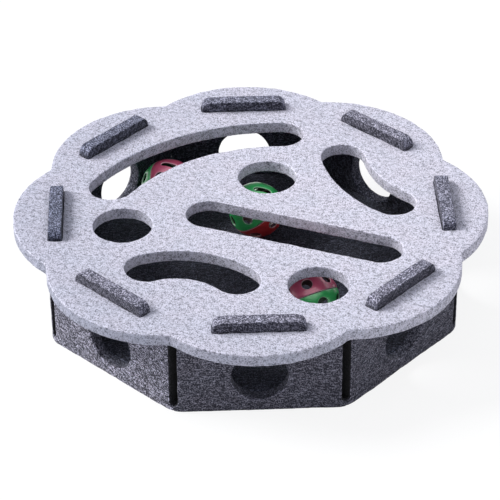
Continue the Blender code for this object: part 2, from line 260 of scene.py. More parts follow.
def flower_outline(points=90):
    """The lid's edge: on each side an arc through the lobe's tip and its two notches, and at each notch a
    small fillet that lies outside it and touches both arcs."""
    notch_reach = LID_REACH - NOTCH_DEPTH
    half_chord = notch_reach * sin(HALF_ANGLE)
    rise = LID_REACH - notch_reach * cos(HALF_ANGLE)
    lobe = (half_chord**2 + rise**2) / (2 * rise)
    lobe_middle = LID_REACH - lobe
    reach = lobe + NOTCH_FILLET
    along, across = cos(HALF_ANGLE), sin(HALF_ANGLE)
    fillet_middle = lobe_middle * along + (reach**2 - (lobe_middle * across) ** 2) ** 0.5
    half_turn = np.arctan2(fillet_middle * across, fillet_middle * along - lobe_middle)
    pieces = []
    for side in range(SIDES):
        tip = 2 * HALF_ANGLE * side
        notch = tip + HALF_ANGLE
        centre = (lobe_middle * cos(tip), lobe_middle * sin(tip))
        pieces.append(arc(centre, lobe, tip - half_turn, tip + half_turn, points))
        fillet_centre = (fillet_middle * cos(notch), fillet_middle * sin(notch))
        start, end = tip + half_turn + pi, notch + HALF_ANGLE - half_turn + pi
        pieces.append(arc(fillet_centre, NOTCH_FILLET, start, end, points=8)[1:-1])
    return np.vstack(pieces)


def on_side(side, along, out):
    """Places seen from outside a wall: along it to the right, and out from the middle, as (x, y) columns."""
    angle = 2 * HALF_ANGLE * side
    return np.stack([out * cos(angle) - along * sin(angle), out * sin(angle) + along * cos(angle)], axis=-1)


def even_loop(points, step, fewest=12):
    """Points at even steps along a closed line, turned counter-clockwise, its corners eased by averaging."""
    closed = np.vstack([points, points[:1]])
    run = np.concatenate([[0.0], np.cumsum(np.hypot(*np.diff(closed, axis=0).T))])
    places = np.linspace(0, run[-1], max(fewest, round(run[-1] / step)), endpoint=False)
    loop = np.stack([np.interp(places, run, closed[:, axis]) for axis in (0, 1)], axis=1)
    loop = (np.roll(loop, 1, axis=0) + 2 * loop + np.roll(loop, -1, axis=0)) / 4
    after = np.roll(loop, -1, axis=0)
    area = np.sum(loop[:, 0] * after[:, 1] - after[:, 0] * loop[:, 1])
    return loop if area > 0 else loop[::-1]


def inward(loop):
    """The unit direction to the left of a closed line at each of its points."""
    heading = np.roll(loop, -1, axis=0) - np.roll(loop, 1, axis=0)
    heading /= np.linalg.norm(heading, axis=1, keepdims=True)
    return np.stack([-heading[:, 1], heading[:, 0]], axis=1)


def grid_between(loops, step, rng):
    """Points of a staggered grid, a little shaken, that keeps one cell clear of every loop's points."""
    points = np.vstack(loops)
    low = points.min(axis=0) - 2 * step
    shape = np.ceil((points.max(axis=0) - low) / step).astype(int) + 3
    busy = np.zeros(shape, bool)
    column, row = np.floor((points - low) / step).astype(int).T
    for right, up in ((0, 0), (1, 0), (-1, 0), (0, 1), (0, -1)):
        busy[column + right, row + up] = True
    cells = np.argwhere(~busy).astype(float)
    cells[:, 0] += 0.5 * (cells[:, 1] % 2) + 0.25
    return low + (cells + 0.5 + rng.uniform(-GRID_SHAKE, GRID_SHAKE, cells.shape)) * step


def inside(points, loop, block_size=2000):
    """Which points lie inside a closed line: a level ray from them crosses it an odd number of times."""
    near = np.flatnonzero(((points > loop.min(axis=0)) & (points < loop.max(axis=0))).all(axis=1))
    (x1, y1), (x2, y2) = loop.T, np.roll(loop, -1, axis=0).T
    found = np.zeros(len(points), bool)
    for block in np.array_split(near, len(near) // block_size + 1):
        x, y = points[block, 0, None], points[block, 1, None]
        passes = (y1 > y) != (y2 > y)
        crossing = x1 + (y - y1) * (x2 - x1) / np.where(y2 == y1, 1, y2 - y1)
        found[block] = (passes & (x < crossing)).sum(axis=1) % 2 == 1
    return found


def rim_profile(thickness, edge, side_rows, edge_rows):
    """A rim from the front face to the back one: a quarter round, rows down the cut side and a quarter round.
    Gives each row's inset and depth, and how much it belongs to the cut side and to its two edges."""
    turn = np.linspace(0, pi / 2, edge_rows + 1)
    side = np.linspace(edge, thickness - edge, side_rows + 1)[1:-1]
    inset = np.concatenate([edge * (1 - np.sin(turn)), np.zeros(side_rows - 1), edge * (1 - np.cos(turn))])
    depth = np.concatenate([edge * (1 - np.cos(turn)), side, thickness - edge * (1 - np.sin(turn))])
    cut = np.clip(np.minimum(depth, thickness - depth) / edge, 0, 1)
    bend = np.sqrt(np.clip(np.sin(2 * turn), 0, 1))
    return inset, depth, cut, np.concatenate([bend, np.zeros(side_rows - 1), bend])


def filled(loops, step, rng):
    """The flat face between closed lines: triangles between their points and a staggered grid. Gives the
    places, the lines' own first, and the triangles."""
    border = np.vstack(loops)
    chart = np.vstack([border, grid_between(loops, step, rng)])
    edges = []
    for loop in loops:
        here = len(edges) + np.arange(len(loop))
        edges += np.stack([here, np.roll(here, -1)], axis=1).tolist()
    points = [Vector(place) for place in chart.tolist()]
    _, _, faces, sources, _, _ = delaunay_2d_cdt(points, edges, [], 1, CHART_TOLERANCE)
    triangles = np.array([ids[0] for ids in sources])[np.array(faces)]
    covered = np.array([inside(chart[triangles].mean(axis=1), loop) for loop in loops])
    triangles = triangles[covered[0] & ~covered[1:].any(axis=0)]
    used = np.unique(np.concatenate([np.arange(len(border)), triangles.ravel()]))
    return chart[used], np.searchsorted(used, triangles)


def sheet_mesh(
    name, outlines, thickness, edge, to_space, step, face_step,
    side_rows=5, edge_rows=3, lie=0.0, marks=(), painted_light=None,
):
    """A closed sheet with cut-outs: a rim along each outline, and both faces filled between the rims' inner
    ends. to_space(flat, depth) puts flat places at a depth under the front. The attribute cut is 1 on the
    cut sides, and rim is 1 along their two edges. Each mark is a part of the cut sides that a function of
    the flat places picks out. The last argument is a function of the flat places and the depth that gives
    the painted light there, with painted shade below zero. The attribute lie holds the flat places turned
    by an angle, and the depth: the way the fibres lie."""
    rng = np.random.default_rng(len(name))
    profile = rim_profile(thickness, edge, side_rows, edge_rows)
    inset, rows = profile[0], len(profile[0])
    flats, shares, quads, fronts = [], [], [], []
    count = 0
    for place, outline in enumerate(outlines):
        loop = even_loop(outline, step)
        loop = loop if place == 0 else loop[::-1]
        size = len(loop)
        flats.append((loop[None] + inset[:, None, None] * inward(loop)[None]).reshape(-1, 2))
        shares.append(np.repeat(profile[1:], size, axis=1))
        index = count + np.arange(rows * size).reshape(rows, size)
        beside = np.roll(index, -1, axis=1)
        quads.append(np.stack([index[:-1], index[1:], beside[1:], beside[:-1]], axis=-1).reshape(-1, 4))
        fronts.append(index[0])
        count += rows * size
    rims = np.vstack(flats)
    chart, triangles = filled([rims[front] for front in fronts], face_step, rng)
    border = np.concatenate(fronts)
    filling = chart[len(border):]
    new = count + np.arange(len(filling))
    to_front = np.concatenate([border, new])
    to_back = np.concatenate([front + (rows - 1) * len(front) for front in fronts] + [new + len(filling)])
    flat = np.vstack([rims, filling, filling])
    on_faces = np.zeros((3, 2 * len(filling)))
    on_faces[0, len(filling):] = thickness
    depth, cut, bend = np.hstack(shares + [on_faces])
    mesh = bpy.data.meshes.new(name)
    polygons = np.vstack(quads).tolist() + to_front[triangles].tolist() + to_back[triangles[:, ::-1]].tolist()
    mesh.from_pydata(to_space(flat, depth).tolist(), [], polygons)
    values = {"cut": cut, "rim": bend} | {mark: cut * picked(flat) for mark, picked in marks}
    values["painted_light"] = np.zeros(len(flat)) if painted_light is None else painted_light(flat, depth)
    for attribute, numbers in values.items():
        layer = mesh.attributes.new(attribute, "FLOAT", "POINT")
        layer.data.foreach_set("value", numbers.astype(np.float32))
    turned = flat @ np.array([[cos(lie), sin(lie)], [-sin(lie), cos(lie)]])
    lies = np.column_stack([turned + rng.uniform(0, 1, 2), depth]).astype(np.float32)
    mesh.attributes.new("lie", "FLOAT_VECTOR", "POINT").data.foreach_set("vector", lies.ravel())
    mesh.shade_smooth()
    return mesh


def soft_noise(points, cell, seed):
    """Smooth random heights from -1 to 1: random numbers at the corners of cubes of this size, and between
    them a blend eased by 3t^2 - 2t^3 along each axis. Each corner's number comes from a table, at a place
    that large primes mix from the corner's three whole numbers."""
    table = np.random.default_rng(seed).uniform(-1, 1, NOISE_TABLE_SIZE)
    scaled = points / cell
    low = np.floor(scaled).astype(np.int64)
    share = scaled - low
    share = share * share * (3 - 2 * share)
    total = np.zeros(len(points))
    for corner in np.ndindex(2, 2, 2):
        key = (low + corner) @ np.array(NOISE_PRIMES)
        weight = np.prod(np.where(corner, share, 1 - share), axis=1)
        total += weight * table[np.bitwise_xor(key, key >> 13) % len(table)]
    return total


def roughen(mesh, layers, seed):
    """Moves each point along its normal by the sum of soft noises of these sizes and heights. None ends below
    the ground."""
    count = len(mesh.vertices)
    places, normals = np.empty(count * 3), np.empty(count * 3)
    mesh.vertices.foreach_get("co", places)
    mesh.vertices.foreach_get("normal", normals)
    places, normals = places.reshape(-1, 3), normals.reshape(-1, 3)
    shift = sum(height * soft_noise(places, cell, seed + k) for k, (cell, height) in enumerate(layers))
    places = places + normals * shift[:, None]
    places[:, 2] = np.maximum(places[:, 2], 0)
    mesh.vertices.foreach_set("co", places.ravel())
    mesh.update()


def lid_mesh():
    """The flower-shaped lid, flat, its depth measured down from its top."""
    def place(shares):
        return (shares[0] * INNER_APOTHEM, shares[1] * INNER_APOTHEM)

    outlines = [flower_outline()]
    outlines += [circle(place(shares), ROUND_HOLE) for shares in ROUND_HOLE_SHARES]
    for (centre, radius_share), angles in zip(CURVED_SLOT_SHARES, CURVED_SLOT_ANGLES):
        outlines.append(curved_slot(place(centre), radius_share * INNER_APOTHEM, *angles, SLOT_WIDTH))
    first, last = STRAIGHT_SLOT_SHARES
    outlines.append(straight_slot(place(first), place(last), SLOT_WIDTH))
    half = TAB_LENGTH / 2 + SLOT_GAP
    near, far = INNER_APOTHEM - SLOT_GAP, OUTER_APOTHEM + SLOT_GAP
    along, out = np.array([-half, half, half, -half]), np.array([near, near, far, far])
    outlines += [on_side(side, along, out) for side in range(SIDES)]

    def to_space(flat, depth):
        return np.column_stack([flat, LID_TOP - depth])

    # Painted light on the outer edge, paler towards +X and +Y, and painted shade away from the pool of
    # painted light
    def painted_light(flat, depth):
        reach = np.linalg.norm(flat, axis=1)
        outer = (reach > LID_REACH - NOTCH_DEPTH - LID_EDGE_MARGIN) * np.clip(depth / FELT_EDGE - 1, 0, 1)
        middle, right, back = LID_EDGE_PAINTED_LIGHT
        edge = outer * np.clip(middle + (flat @ (right, back)) / LID_REACH, *LID_EDGE_LIGHT_LIMITS)
        away = np.linalg.norm(flat - LID_PAINTED_LIGHT_MIDDLE, axis=1) / LID_PAINTED_FADE_REACH
        return edge + LID_PAINTED_SHADE_FADE * away**2

    return sheet_mesh(
        "lid_felt", outlines, LID_TOP - LID_BOTTOM, FELT_EDGE, to_space, OUTLINE_STEP, FACE_STEP,
        lie=LID_LIE, painted_light=painted_light,
    )


def floor_mesh():
    """The tray's floor: an octagon between the walls, its depth measured down from its top."""
    corner = FLOOR_REACH / cos(HALF_ANGLE)
    angles = HALF_ANGLE * (2 * np.arange(SIDES) + 1)
    outline = corner * np.stack([np.cos(angles), np.sin(angles)], axis=1)

    def to_space(flat, depth):
        return np.column_stack([flat, FELT - depth])

    # Painted shade on the floor's top, inside the tray
    def painted_light(flat, depth):
        return TRAY_INSIDE_PAINTED_SHADE * (depth < FELT / 2)

    return sheet_mesh(
        "floor_felt", [outline], FELT, FELT_EDGE, to_space, 2 * OUTLINE_STEP, 1.5 * FACE_STEP, painted_light=painted_light
    )


def tab_top(flat):
    """1 on the top of a tab, and less down its rounded corners."""
    return np.clip((flat[:, 1] - TAB_TOP + TAB_CORNER) / TAB_CORNER * 2, 0, 1)


def wall_end(flat):
    """1 on the two upright ends of a wall, above its foot."""
    beyond_tab = np.clip((np.abs(flat[:, 0]) - TAB_LENGTH / 2 - WALL_END_START) / WALL_END_BLEND, 0, 1)
    return beyond_tab * np.clip((flat[:, 1] - TOE_HEIGHT) / TONE_BLEND, 0, 1)


def wall_mesh(side, name):
    """A wall with its tab and paw hole, drawn as (along, height), its depth measured in from its outer face.
    At the ground the outer part is stretched sideways to the plane between two walls, and there it is drawn
    in to an arc about a point inside the corner, so that the foot is round seen from above."""
    half = INNER_APOTHEM * tan(HALF_ANGLE) - CORNER_GAP / (2 * cos(HALF_ANGLE))
    thickness = OUTER_APOTHEM - INNER_APOTHEM
    right = [(half, 0.0), (half, WALL_HEIGHT), (TAB_LENGTH / 2, WALL_HEIGHT)]
    corner = (TAB_LENGTH / 2 - TAB_CORNER, TAB_TOP - TAB_CORNER)
    rim = np.vstack([
        right,
        arc(corner, TAB_CORNER, 0, pi / 2, points=9),
        arc((-corner[0], corner[1]), TAB_CORNER, pi / 2, pi, points=9),
        [(-along, height) for along, height in reversed(right)],
    ])
    outlines = [rim, circle((0, PAW_HOLE_HEIGHT), PAW_HOLE)]

    def to_space(flat, depth):
        along, height = flat.T
        out = OUTER_APOTHEM - depth
        foot = np.clip(1 - (height - TOE_HEIGHT) / TOE_FADE, 0, 1)
        foot = foot * foot * (3 - 2 * foot)
        along = along * (1 + foot * (out * tan(HALF_ANGLE) / half - 1))
        round_middle = OUTER_APOTHEM - TOE_ROUND
        beyond = np.clip(np.abs(along) - round_middle * tan(HALF_ANGLE), 0, TOE_ROUND)
        reach = round_middle + np.sqrt(TOE_ROUND**2 - beyond**2)
        out = INNER_APOTHEM + (out - INNER_APOTHEM) * (reach - INNER_APOTHEM) / thickness
        return np.column_stack([on_side(side, along, out), height])

    # Painted light on the outer face, painted shade on the inner face and on the cut sides, and the tab's own
    # painted light and shade above the lid
    def painted_light(flat, depth):
        outer = np.clip(1 - (depth - FELT_EDGE) / TONE_BLEND, 0, 1)
        inner = np.clip((depth - thickness) / TONE_BLEND + 1, 0, 1)
        wall = outer * WALL_PAINTED_LIGHT[side] + inner * TRAY_INSIDE_PAINTED_SHADE + (1 - outer - inner) * WALL_CUT_PAINTED_SHADE
        on_tab = np.clip((flat[:, 1] - LID_TOP) / TONE_BLEND + 1, 0, 1)
        return (1 - on_tab) * wall + on_tab * (TAB_FACE_PAINTED_SHADE + TAB_PAINTED_LIGHT[side])

    # Where the felt takes painted light on the tabs' tops and painted shade at the walls' ends
    marks = (("top", tab_top), ("end", wall_end))
    return sheet_mesh(
        name, outlines, thickness, FELT_EDGE, to_space, OUTLINE_STEP, FACE_STEP, lie=WALL_LIES[side],
        marks=marks, painted_light=painted_light,
    )


def flatten(points, radius):
    """Directions from the middle of a ball, drawn flat: the angle from the pole times the radius, in each
    direction round the pole."""
    angle = np.arctan2(np.hypot(points[:, 0], points[:, 1]), points[:, 2])
    around = np.arctan2(points[:, 1], points[:, 0])
    return radius * angle[:, None] * np.stack([np.cos(around), np.sin(around)], axis=1)


def on_ball(outline, radius, turn_degrees, angle_degrees):
    """A flat outline held against a ball, this far from its pole and round it, drawn flat again."""
    angle, turn = radians(angle_degrees), radians(turn_degrees)
    rows = np.column_stack([outline, np.full(len(outline), radius)])
    tilt = np.array([[cos(angle), 0, sin(angle)], [0, 1, 0], [-sin(angle), 0, cos(angle)]])
    spin = np.array([[cos(turn), -sin(turn), 0], [sin(turn), cos(turn), 0], [0, 0, 1]])
    return flatten(rows @ (spin @ tilt).T, radius)


def ball_surface(radius, turn, centre, ridge=0.0):
    """The way back from the flat drawing: a ray at its angle from the turned pole, as long as the radius less
    the depth. A ridge stands out where the ray is level, and falls off as a bell curve."""
    turned = np.array(turn.to_3x3()).T

    def to_space(flat, depth):
        angle = np.linalg.norm(flat, axis=1) / radius
        around = np.arctan2(flat[:, 1], flat[:, 0])
        level = np.sin(angle)
        ray = np.column_stack([level * np.cos(around), level * np.sin(around), np.cos(angle)])
        length = radius - depth + ridge * np.exp(-(((angle - pi / 2) / radians(BELL_RIDGE_ANGLE)) ** 2))
        return ray * length[:, None] @ turned + np.array(centre)

    return to_space


def half_shell_mesh(name, radius, centre, turn):
    """Half of a hollow ball with a hole at its pole, and round holes and slits around it. Painted shade
    comes in on the inside, from a quarter of the shell's depth to three quarters."""
    rim_angle = pi / 2 - SEAM / 2 / radius
    outlines = [circle((0, 0), 2 * radius * rim_angle, points=160), circle((0, 0), POLE_HOLE, points=48)]
    half = (SLIT_LENGTH - SLIT_WIDTH) / 2
    hole = circle((0, 0), SHELL_HOLE, points=48)
    slit = straight_slot((-half, 0), (half, 0), SLIT_WIDTH, points=16)
    outlines += [on_ball(hole, radius, turned, SHELL_HOLE_ANGLE) for turned in SHELL_HOLE_TURNS]
    outlines += [on_ball(slit, radius, turned, SLIT_ANGLE) for turned in SLIT_TURNS]

    def painted_light(flat, depth):
        return SHELL_PAINTED_SHADE * np.clip(2 * depth / SHELL - 0.5, 0, 1)

    to_space = ball_surface(radius, turn, centre)
    return sheet_mesh(
        name, outlines, SHELL, SHELL_EDGE, to_space, BALL_STEP, 2 * BALL_STEP, side_rows=2, painted_light=painted_light
    )


def bell_mesh(name, radius, centre):
    """A round bell with a small opening at its foot and a slot over its top that ends in two round holes."""
    cap = circle((0, 0), 2 * radius * radians(BELL_CAP_ANGLE), points=160)
    reach = radius * radians(BELL_SLOT_REACH)
    meet = np.arcsin(BELL_SLOT / BELL_SLOT_END)
    far_end = arc((reach, 0), BELL_SLOT_END / 2, meet - pi, pi - meet, points=20)
    near_end = arc((-reach, 0), BELL_SLOT_END / 2, meet, 2 * pi - meet, points=20)
    to_space = ball_surface(radius - BELL_RIDGE, Matrix.Identity(3), centre, BELL_RIDGE)
    outlines = [cap, np.vstack([far_end, near_end])]
    return sheet_mesh(
        name, outlines, BELL_WALL, BELL_EDGE, to_space, BELL_STEP, 1.6 * BELL_STEP, side_rows=2
    )


def pellet_mesh(name, radius, centre, rings=24, around=48):
    """A ball as rings of points from pole to pole: radius (sin a cos b, sin a sin b, cos a)."""
    down, round_pole = pi * np.arange(1, rings) / rings, 2 * pi * np.arange(around) / around
    angle, turn = np.meshgrid(down, round_pole, indexing="ij")
    grid = np.stack([np.sin(angle) * np.cos(turn), np.sin(angle) * np.sin(turn), np.cos(angle)], axis=-1)
    points = np.vstack([[(0, 0, 1)], grid.reshape(-1, 3), [(0, 0, -1)]]) * radius + np.array(centre)
    index = 1 + np.arange((rings - 1) * around).reshape(rings - 1, around)
    beside = np.roll(index, -1, axis=1)
    quads = np.stack([index[:-1], index[1:], beside[1:], beside[:-1]], axis=-1).reshape(-1, 4)
    top = np.column_stack([np.zeros(around, int), index[0], beside[0]])
    foot = np.column_stack([np.full(around, len(points) - 1), beside[-1], index[-1]])
    mesh = bpy.data.meshes.new(name)
    mesh.from_pydata(points.tolist(), [], quads.tolist() + top.tolist() + foot.tolist())
    mesh.shade_smooth()
    return mesh


def half_shell_turn(pole, hole_towards):
    """The rotation that puts a half shell's pole and one of its round holes in these directions."""
    up = Vector(pole).normalized()
    across = (Vector(hole_towards) - up * Vector(hole_towards).dot(up)).normalized()
    return Matrix((across, up.cross(across), up)).transposed()


def set_input(tree, socket, value):
    """Gives an input another node's output, or else a number or a colour."""
    if isinstance(value, bpy.types.NodeSocket):
        tree.links.new(value, socket)
    else:
        socket.default_value = value


def add_node(tree, kind, **settings):
    """A node with these inputs and settings."""
    node = tree.nodes.new(kind)
    for name, value in settings.items():
        if name in node.inputs:
            set_input(tree, node.inputs[name], value)
        else:
            setattr(node, name, value)
    return node


def math_node(tree, operation, first, second, clamp=False):
    node = add_node(tree, "ShaderNodeMath", operation=operation, use_clamp=clamp)
    set_input(tree, node.inputs[0], first)
    set_input(tree, node.inputs[1], second)
    return node.outputs[0]


def mixed(tree, share, first, second, data_type="RGBA", **settings):
    """A mix of two values, which is the first where the share is 0 and the second where it is 1."""
    node = add_node(tree, "ShaderNodeMix", data_type=data_type, **settings)
    for name, value in (("Factor", share), ("A", first), ("B", second)):
        set_input(tree, node.inputs[name], value)
    return node.outputs["Result"]


def times(tree, first, second):
    """The product of two colours, or of a colour and a number."""
    return mixed(tree, 1.0, first, second, blend_type="MULTIPLY")


def noise(tree, place, scale, detail, roughness):
    return add_node(
        tree, "ShaderNodeTexNoise", Vector=place, Scale=scale, Detail=detail, Roughness=roughness
    ).outputs


def ramp(tree, level, stops):
    """Colours along a level: a stop is a level and its colour."""
    node = add_node(tree, "ShaderNodeValToRGB", Fac=level)
    for element, (position, colour) in zip(node.color_ramp.elements, stops):
        element.position, element.color = position, (*colour, 1)
    return node.outputs["Color"]


def attribute(tree, name):
    return add_node(tree, "ShaderNodeAttribute", attribute_name=name).outputs["Fac"]


def new_group(name, inputs, outputs):
    """A node group with these inputs, each with its usual value, and these outputs. Gives the group, what
    it is given and its results."""
    group = bpy.data.node_groups.new(name, "ShaderNodeTree")
    for label, value in inputs.items():
        kind = COLOUR_SOCKET if isinstance(value, tuple) else NUMBER_SOCKET
        group.interface.new_socket(label, in_out="INPUT", socket_type=kind).default_value = value
    for label, kind in outputs.items():
        group.interface.new_socket(label, in_out="OUTPUT", socket_type=kind)
    return group, group.nodes.new("NodeGroupInput").outputs, group.nodes.new("NodeGroupOutput").inputs


def placed(tree, group, **values):
    """The results of a group that is placed among these nodes with these values."""
    node = add_node(tree, "ShaderNodeGroup", node_tree=group)
    for name, value in values.items():
        node.inputs[name.replace("_", " ").title()].default_value = value
    return node.outputs


def new_material(name):
    """A new material, its nodes and its shader."""
    made = bpy.data.materials.new(name)
    made.use_nodes = True
    return made, made.node_tree, made.node_tree.nodes["Principled BSDF"]


def set_shader(shader, **values):
    for name, value in values.items():
        shader.inputs[name.replace("_", " ")].default_value = value


def felt_group():
    """Needled felt: grain, short fibres that mostly lie one way, and soft blotches, each with its own
    strength. Puts out a colour between Deep and Pale with painted light and shade: the painted light that
    each piece holds, deeper and bluer below zero, and by the four Shade sockets painted shade on the cut
    sides and the walls' ends, a painted highlight along the cut sides' edges and painted light on the tabs'
    tops. Also puts out a height for the bump."""
    shades = {f"{place} Shade": 0.0 for place in ("Cut", "Rim", "Top", "End")}
    inputs = {"Deep": (0.1, 0.1, 0.1, 1), "Pale": (0.3, 0.3, 0.3, 1), "Balance": 0.5}
    inputs |= {"Grain": 1.0, "Fibres": 1.0, "Blotches": 1.0} | shades
    outputs = {"Color": COLOUR_SOCKET, "Height": NUMBER_SOCKET}
    group, given, result = new_group("needled_felt", inputs, outputs)
    place = add_node(group, "ShaderNodeAttribute", attribute_name="lie").outputs["Vector"]

    bend = noise(group, place, *BEND)["Color"]
    shaken = add_node(group, "ShaderNodeVectorMath", operation="MULTIPLY_ADD")
    for socket, value in zip(shaken.inputs, (bend, (FIBRE_BEND, FIBRE_BEND, FIBRE_BEND), place)):
        set_input(group, socket, value)

    streaks = []
    for turn, squeeze in FIBRE_SETS:
        turned = add_node(group, "ShaderNodeMapping", Vector=shaken.outputs[0], Rotation=turn)
        drawn_out = add_node(group, "ShaderNodeMapping", Vector=turned.outputs[0], Scale=(squeeze, 1, 1))
        streaks.append(noise(group, drawn_out.outputs[0], *FIBRE)[0])
    fibres = math_node(group, "MAXIMUM", math_node(group, "MAXIMUM", streaks[0], streaks[1]), streaks[2])
    fibre = math_node(group, "SUBTRACT", fibres, FIBRE_MIDDLE)
    grain = math_node(group, "SUBTRACT", noise(group, place, *GRAIN)[0], NOISE_MIDDLE)
    blotch = math_node(group, "SUBTRACT", noise(group, place, *BLOTCH)[0], NOISE_MIDDLE)

    level = given["Balance"]
    parts = ((grain, "Grain", GRAIN_GAIN), (fibre, "Fibres", FIBRE_GAIN), (blotch, "Blotches", BLOTCH_GAIN))
    for part, strength, gain in parts:
        gained = math_node(group, "MULTIPLY", given[strength], gain)
        level = math_node(group, "ADD", level, math_node(group, "MULTIPLY", part, gained))
    # The painted light that each piece holds makes the felt paler above zero
    painted_light = attribute(group, "painted_light")
    paler = math_node(group, "ADD", math_node(group, "MAXIMUM", painted_light, 0.0), 1.0)
    level = math_node(group, "MULTIPLY", math_node(group, "MAXIMUM", level, 0.0, clamp=True), paler)
    colour = mixed(group, level, given["Deep"], given["Pale"], clamp_factor=False)

    # Painted shade: the piece's own below zero, then the Shade sockets' painted light and shade on the cut
    # sides, their edges, the tabs' tops and the walls' ends
    shade = math_node(group, "ADD", math_node(group, "MINIMUM", painted_light, 0.0), 1.0)
    for name in ("cut", "rim", "top", "end"):
        part = math_node(group, "MULTIPLY", attribute(group, name), given[f"{name.capitalize()} Shade"])
        shade = math_node(group, "ADD", shade, part)
    colour = times(group, colour, math_node(group, "MAXIMUM", shade, LEAST_SHADE))

    colour = times(group, colour, ramp(group, noise(group, place, *TINT)[0], TINTS))
    # Painted shade is bluer
    deeper = math_node(group, "MULTIPLY", painted_light, -1.0)
    colour = times(group, colour, mixed(group, deeper, (1, 1, 1, 1), (*PAINTED_SHADE_TINT, 1)))
    set_input(group, result["Color"], colour)
    set_input(group, result["Height"], math_node(group, "ADD", fibres, grain))
    return group


def moulded_group():
    """Moulded plastic: a faint unevenness, painted shade inside the shell, and a painted highlight along the
    edges of its holes. Puts out the colour and a height for the bump."""
    outputs = {"Color": COLOUR_SOCKET, "Height": NUMBER_SOCKET}
    group, given, result = new_group("moulded_plastic", {"Color": (0.5, 0.5, 0.5, 1)}, outputs)
    place = group.nodes.new("ShaderNodeTexCoord").outputs["Object"]
    uneven = noise(group, place, *UNEVEN)[0]
    colour = times(group, ramp(group, uneven, PLASTIC_SHADES), given["Color"])
    colour = times(group, colour, math_node(group, "ADD", attribute(group, "painted_light"), 1.0))
    edge_highlight = math_node(group, "MULTIPLY", attribute(group, "rim"), HOLE_HIGHLIGHT_STRENGTH)
    set_input(group, result["Color"], mixed(group, edge_highlight, colour, (*PAINTED_HOLE_HIGHLIGHT, 1)))
    set_input(group, result["Height"], uneven)
    return group


def gloss_group():
    """Gloss that varies with a fine grain: the roughness goes from Smoothest to Roughest as the grain goes
    from 0 to 1."""
    inputs = {"Scale": 1000.0, "Detail": 3.0, "Fine Share": 0.5, "Smoothest": 0.3, "Roughest": 0.5}
    group, given, result = new_group("uneven_gloss", inputs, {"Roughness": NUMBER_SOCKET})
    place = group.nodes.new("ShaderNodeTexCoord").outputs["Object"]
    grain = noise(group, place, given["Scale"], given["Detail"], given["Fine Share"])[0]
    rough = add_node(group, "ShaderNodeMapRange", Value=grain)
    set_input(group, rough.inputs["To Min"], given["Smoothest"])
    set_input(group, rough.inputs["To Max"], given["Roughest"])
    set_input(group, result["Roughness"], rough.outputs["Result"])
    return group


def felt_material(name, felt, deep, pale, bump_distance, **strengths):
    """Felt with fuzz that catches the light at a slant."""
    made, tree, shader = new_material(name)
    pattern = placed(tree, felt, deep=(*deep, 1), pale=(*pale, 1), **strengths)
    bump = add_node(tree, "ShaderNodeBump", Strength=0.6, Distance=bump_distance, Height=pattern["Height"])
    set_input(tree, shader.inputs["Normal"], bump.outputs["Normal"])
    set_input(tree, shader.inputs["Base Color"], pattern["Color"])
    set_shader(shader, Roughness=0.95, Specular_IOR_Level=0.12, Sheen_Weight=0.08, Sheen_Roughness=0.6)
    return made


def plastic_material(name, moulded, gloss, colour):
    """Glossy moulded plastic with fine scuffs in its gloss."""
    made, tree, shader = new_material(name)
    pattern = placed(tree, moulded, color=(*colour, 1))
    scuffs = placed(tree, gloss, scale=900.0, detail=4.0, fine_share=0.7, smoothest=0.28, roughest=0.46)
    bump = add_node(tree, "ShaderNodeBump", Strength=0.12, Distance=0.0003, Height=pattern["Height"])
    set_input(tree, shader.inputs["Normal"], bump.outputs["Normal"])
    set_input(tree, shader.inputs["Base Color"], pattern["Color"])
    set_input(tree, shader.inputs["Roughness"], scuffs["Roughness"])
    set_shader(shader, IOR=1.7, Specular_IOR_Level=1.0, Coat_Weight=0.5, Coat_Roughness=0.08)
    return made


def metal_material(name, gloss, colour, **roughness):
    """Plated or turned metal whose gloss varies a little."""
    made, tree, shader = new_material(name)
    grain = placed(tree, gloss, scale=1200.0, detail=3.0, fine_share=0.5, **roughness)
    set_input(tree, shader.inputs["Roughness"], grain["Roughness"])
    set_shader(shader, Base_Color=(*colour, 1), Metallic=1.0)
    return made


def add_piece(mesh, finish, body, slot, *nodes):
    """The mesh as a piece with this finish, riding on a body in place of its CAD nodes."""
    obj = new_object(mesh.name, mesh)
    mesh.materials.append(finish)
    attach(obj, body)
    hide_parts(*nodes)


def make_felt(light, dark):
    mesh = lid_mesh()
    roughen(mesh, FELT_UNEVEN, seed=11)
    add_piece(mesh, light, "lid", "light_felt", "lid")
    mesh = floor_mesh()
    roughen(mesh, FELT_UNEVEN, seed=23)
    add_piece(mesh, dark, "tray", "dark_felt", "base_floor")
    for side, name in enumerate(WALL_NAMES):
        mesh = wall_mesh(side, f"wall_{name}_felt")
        roughen(mesh, FELT_UNEVEN, seed=31 + 7 * side)
        add_piece(mesh, dark, "tray", "dark_felt", f"wall_{name}")


def middle_and_radius(*nodes):
    """The middle of the box round these CAD nodes, and half its size."""
    lows, highs = zip(*(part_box(node) for node in nodes))
    low, high = np.min(lows, axis=0), np.max(highs, axis=0)
    return (low + high) / 2, (high - low).max() / 2


